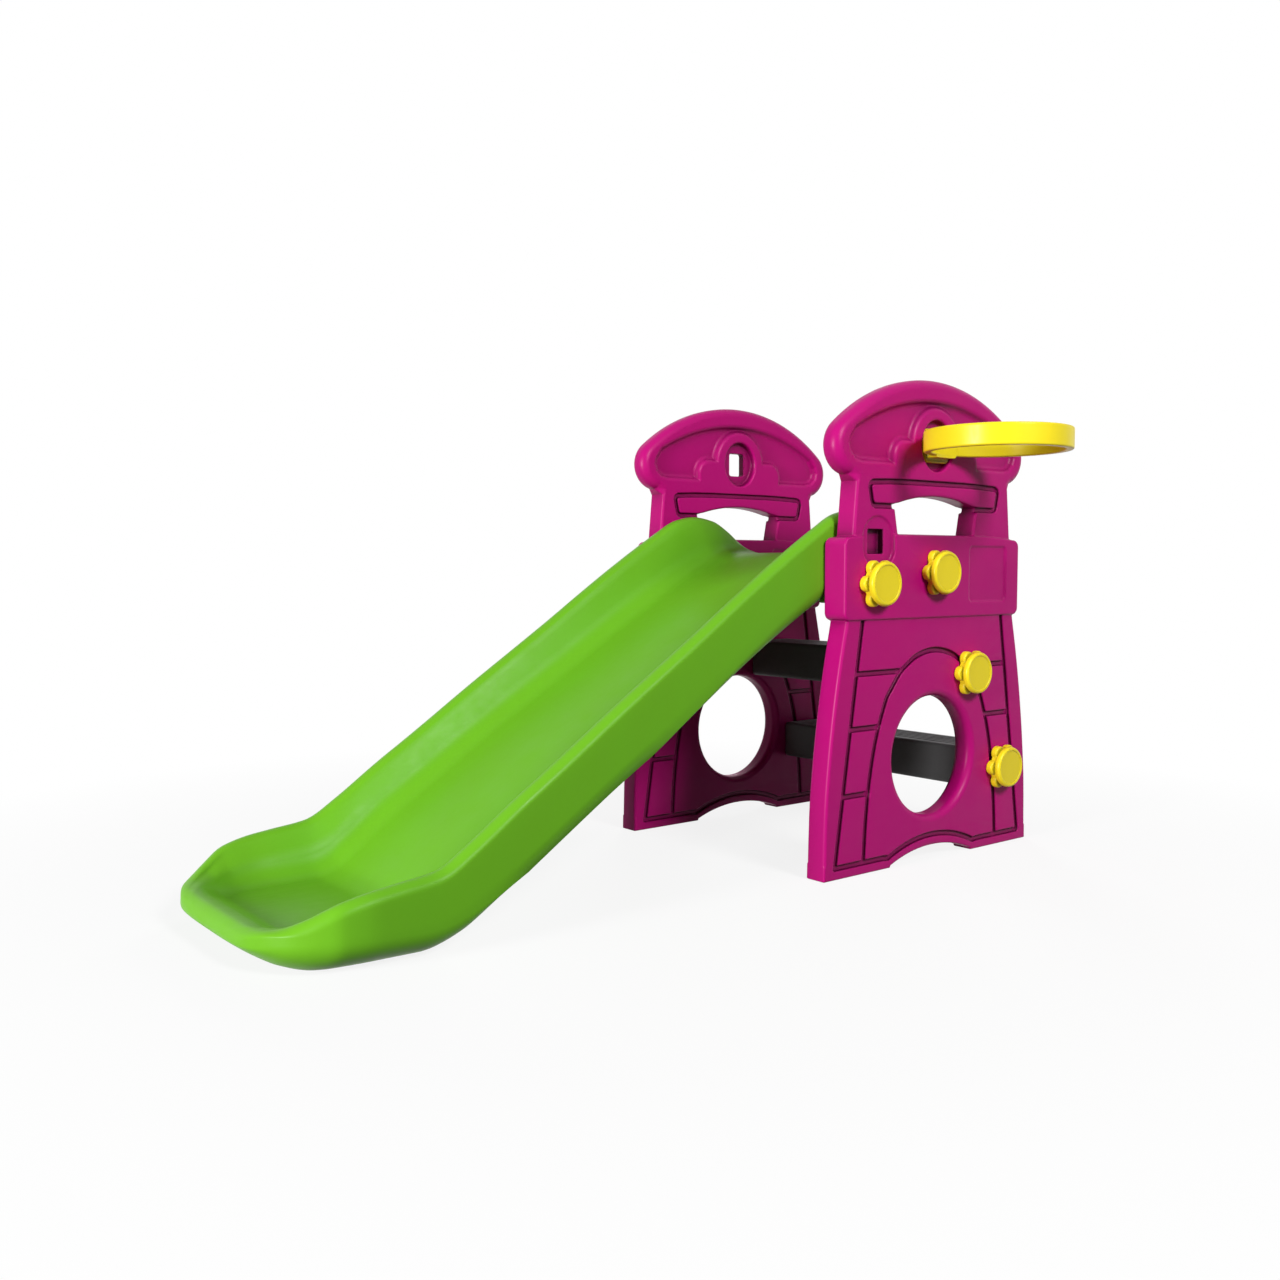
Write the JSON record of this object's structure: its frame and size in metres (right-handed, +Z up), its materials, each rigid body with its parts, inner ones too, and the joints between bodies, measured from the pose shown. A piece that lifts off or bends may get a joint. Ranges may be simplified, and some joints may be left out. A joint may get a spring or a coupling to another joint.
{
  "type": "toddler slide",
  "caption": "Free-standing moulded toddler slide: arched side panels, dark ladder steps and a chute held by screw knobs, with a ball hoop that pulls off.",
  "frame": {"origin": "on the floor, under the middle of the bounding box of the whole slide", "axes": "+Z up, +X from the nose of the chute towards the ladder, +Y towards the rider's right-hand panel (the hoop is on the -Y side)"},
  "size_m": [1.6585, 0.923, 0.95],
  "materials": {
    "panel_plastic": "moulded, satin gloss",
    "chute_plastic": "moulded, satin gloss",
    "step_plastic": "moulded, satin",
    "knob_plastic": "injection moulded, satin gloss",
    "hoop_plastic": "moulded, satin gloss",
    "socket_plastic": "injection moulded, matt"
  },
  "bodies": {
    "frame": {"left_side_panel": "panel_plastic", "right_side_panel": "panel_plastic", "chute": "chute_plastic", "top_step": "step_plastic", "middle_step": "step_plastic", "lower_step": "step_plastic", "chute_left_socket": "socket_plastic", "chute_right_socket": "socket_plastic", "top_step_left_socket": "socket_plastic", "top_step_right_socket": "socket_plastic", "middle_step_left_socket": "socket_plastic", "middle_step_right_socket": "socket_plastic", "lower_step_left_socket": "socket_plastic", "lower_step_right_socket": "socket_plastic"},
    "chute_left_knob": {"chute_left_knob": "knob_plastic"},
    "chute_right_knob": {"chute_right_knob": "knob_plastic"},
    "top_step_left_knob": {"top_step_left_knob": "knob_plastic"},
    "top_step_right_knob": {"top_step_right_knob": "knob_plastic"},
    "middle_step_left_knob": {"middle_step_left_knob": "knob_plastic"},
    "middle_step_right_knob": {"middle_step_right_knob": "knob_plastic"},
    "lower_step_left_knob": {"lower_step_left_knob": "knob_plastic"},
    "lower_step_right_knob": {"lower_step_right_knob": "knob_plastic"},
    "ball_hoop": {"ball_hoop": "hoop_plastic"}
  },
  "joints": [
    {"name": "chute_left_knob_turn", "type": "hinge", "parent": "frame", "child": "chute_left_knob", "pos_m": [0.33225, -0.1905, 0.553], "axis": [0, -1, 0], "range_deg": [0, 1065]},
    {"name": "chute_right_knob_turn", "type": "hinge", "parent": "frame", "child": "chute_right_knob", "pos_m": [0.33225, 0.4315, 0.553], "axis": [0, 1, 0], "range_deg": [0, 1065]},
    {"name": "top_step_left_knob_turn", "type": "hinge", "parent": "frame", "child": "top_step_left_knob", "pos_m": [0.51225, -0.1905, 0.57325], "axis": [0, -1, 0], "range_deg": [0, 1065]},
    {"name": "top_step_right_knob_turn", "type": "hinge", "parent": "frame", "child": "top_step_right_knob", "pos_m": [0.51225, 0.4315, 0.57325], "axis": [0, 1, 0], "range_deg": [0, 1065]},
    {"name": "middle_step_left_knob_turn", "type": "hinge", "parent": "frame", "child": "middle_step_left_knob", "pos_m": [0.62305, -0.1865, 0.36975], "axis": [0, -1, 0], "range_deg": [0, 1425]},
    {"name": "middle_step_right_knob_turn", "type": "hinge", "parent": "frame", "child": "middle_step_right_knob", "pos_m": [0.62305, 0.4275, 0.36975], "axis": [0, 1, 0], "range_deg": [0, 1425]},
    {"name": "lower_step_left_knob_turn", "type": "hinge", "parent": "frame", "child": "lower_step_left_knob", "pos_m": [0.73385, -0.1865, 0.16625], "axis": [0, -1, 0], "range_deg": [0, 1425]},
    {"name": "lower_step_right_knob_turn", "type": "hinge", "parent": "frame", "child": "lower_step_right_knob", "pos_m": [0.73385, 0.4275, 0.16625], "axis": [0, 1, 0], "range_deg": [0, 1425]},
    {"name": "ball_hoop_pull_off", "type": "slide", "parent": "frame", "child": "ball_hoop", "axis": [0, -1, 0], "range_m": [0, 0.1]}
  ]
}
